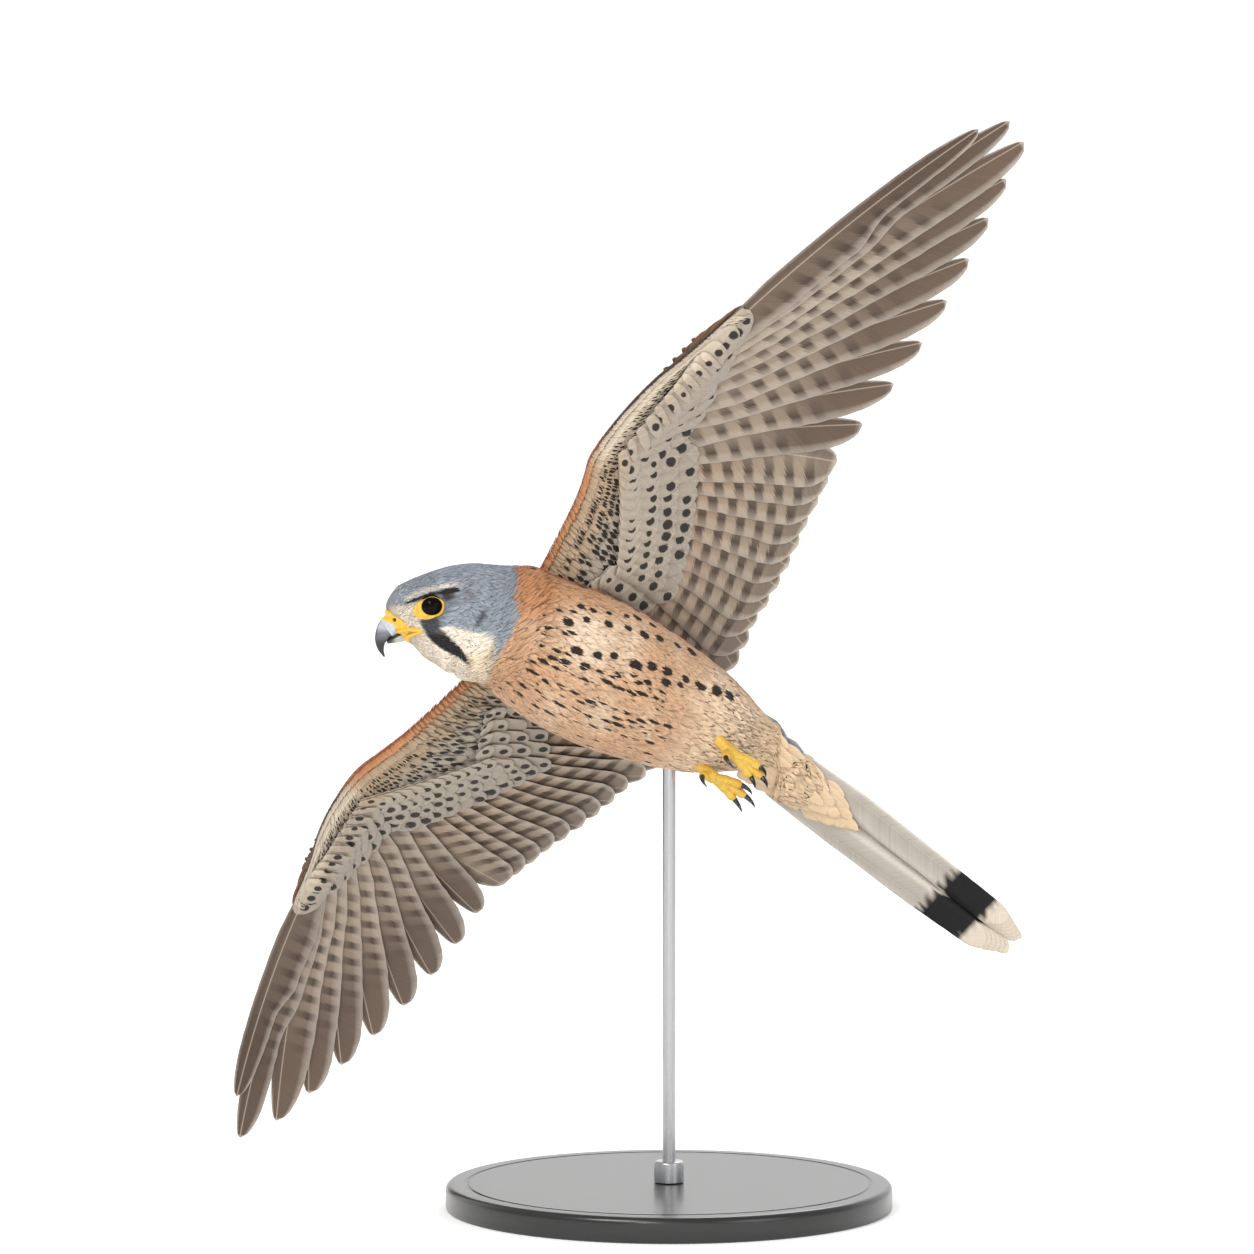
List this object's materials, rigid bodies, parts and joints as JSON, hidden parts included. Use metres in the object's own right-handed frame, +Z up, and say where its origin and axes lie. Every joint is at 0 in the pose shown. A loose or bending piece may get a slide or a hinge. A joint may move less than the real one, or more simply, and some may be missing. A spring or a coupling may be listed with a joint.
{
  "type": "common kestrel model",
  "caption": "Life-size male common kestrel banking on spread wings, feet tucked up and tail nearly shut, held by one rod on a round display base.",
  "frame": {"origin": "centre of the display base's flat underside, on the axis of the rod", "axes": "+Z up from the surface the base rests on; the bird heads towards -X, turned a little towards -Y, and banks to its right with its belly towards -Y"},
  "size_m": [0.3827, 0.2934, 0.5093],
  "materials": {
    "plumage_body": "soft small feathers, warm buff with black spots",
    "plumage_head": "soft small feathers, blue-grey hood and pale throat",
    "plumage_wing": "flight feathers and coverts, barred below and chestnut above",
    "plumage_tail": "grey tail feathers with a black band and white tips",
    "eye": "wet gloss, near black",
    "bare_skin": "yellow scaled or waxy skin",
    "horn": "polished dark horn",
    "stand_lacquer": "satin black lacquer",
    "stand_steel": "brushed steel rod"
  },
  "bodies": {
    "root": {"torso": "plumage_body", "neck": "plumage_body", "head": "plumage_head", "eye_left": "eye", "eye_right": "eye", "cere": "bare_skin", "bill_upper": "horn", "bill_lower": "horn", "wing_left": "plumage_wing", "wing_right": "plumage_wing", "tail": "plumage_tail", "leg_left": "bare_skin", "leg_right": "bare_skin", "claw_left_1": "horn", "claw_left_2": "horn", "claw_left_3": "horn", "claw_left_4": "horn", "claw_right_1": "horn", "claw_right_2": "horn", "claw_right_3": "horn", "claw_right_4": "horn", "stand_base": "stand_lacquer", "stand_collar": "stand_steel", "stand_rod": "stand_steel"}
  },
  "joints": []
}
